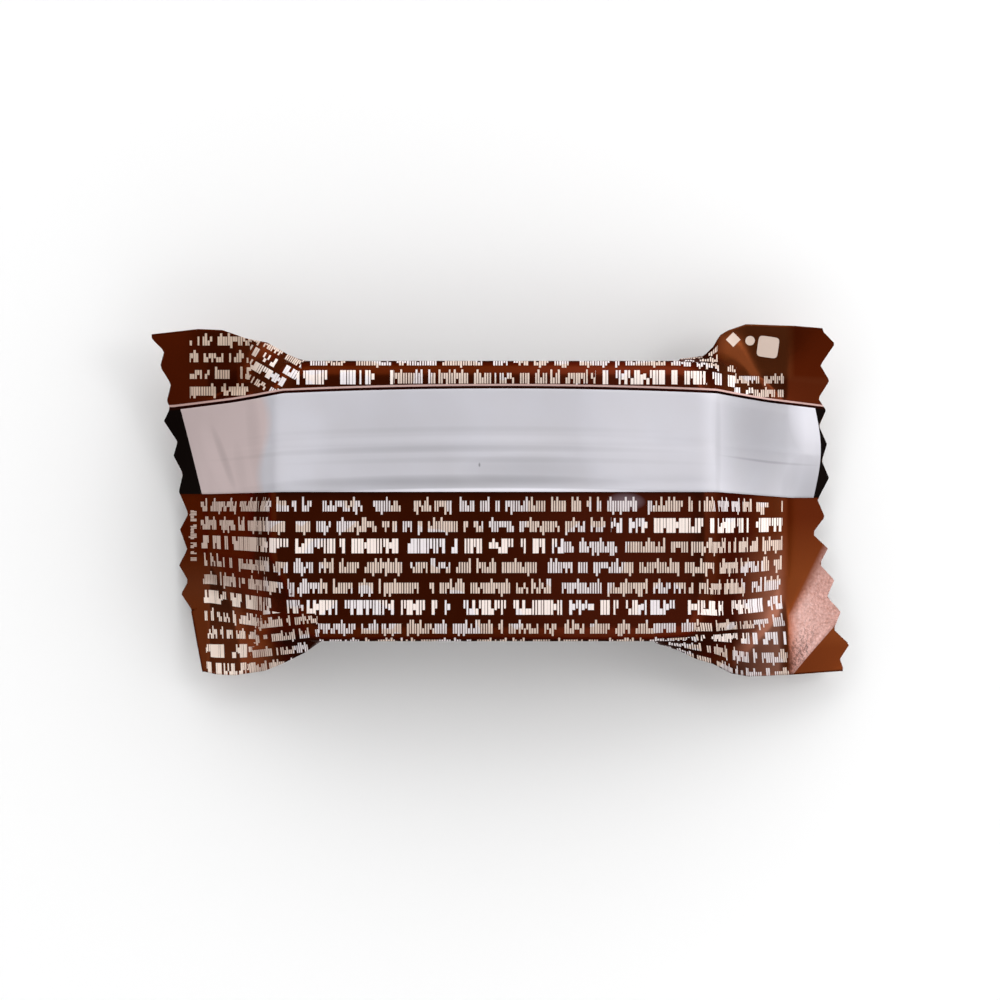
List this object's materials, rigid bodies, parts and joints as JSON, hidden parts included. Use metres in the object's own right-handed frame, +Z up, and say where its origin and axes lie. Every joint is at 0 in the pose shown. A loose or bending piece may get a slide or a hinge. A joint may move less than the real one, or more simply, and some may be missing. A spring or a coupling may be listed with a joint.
{
  "type": "chocolate bonbon",
  "caption": "Single chocolate bonbon sealed in a brown metallised flow wrap, back seam up, zigzag-cut crimped ends",
  "frame": {"origin": "centre of the bounding box, on the surface the pack rests on", "axes": "+X along the pack, +Y across its back towards the fin's root, +Z up through the back with the seam"},
  "size_m": [0.0664, 0.0332, 0.0143],
  "materials": {
    "brown_film": "glossy metallised wrapping film, printed brown outside"
  },
  "bodies": {
    "root": {"wrapped_bonbon": "brown_film"}
  },
  "joints": []
}
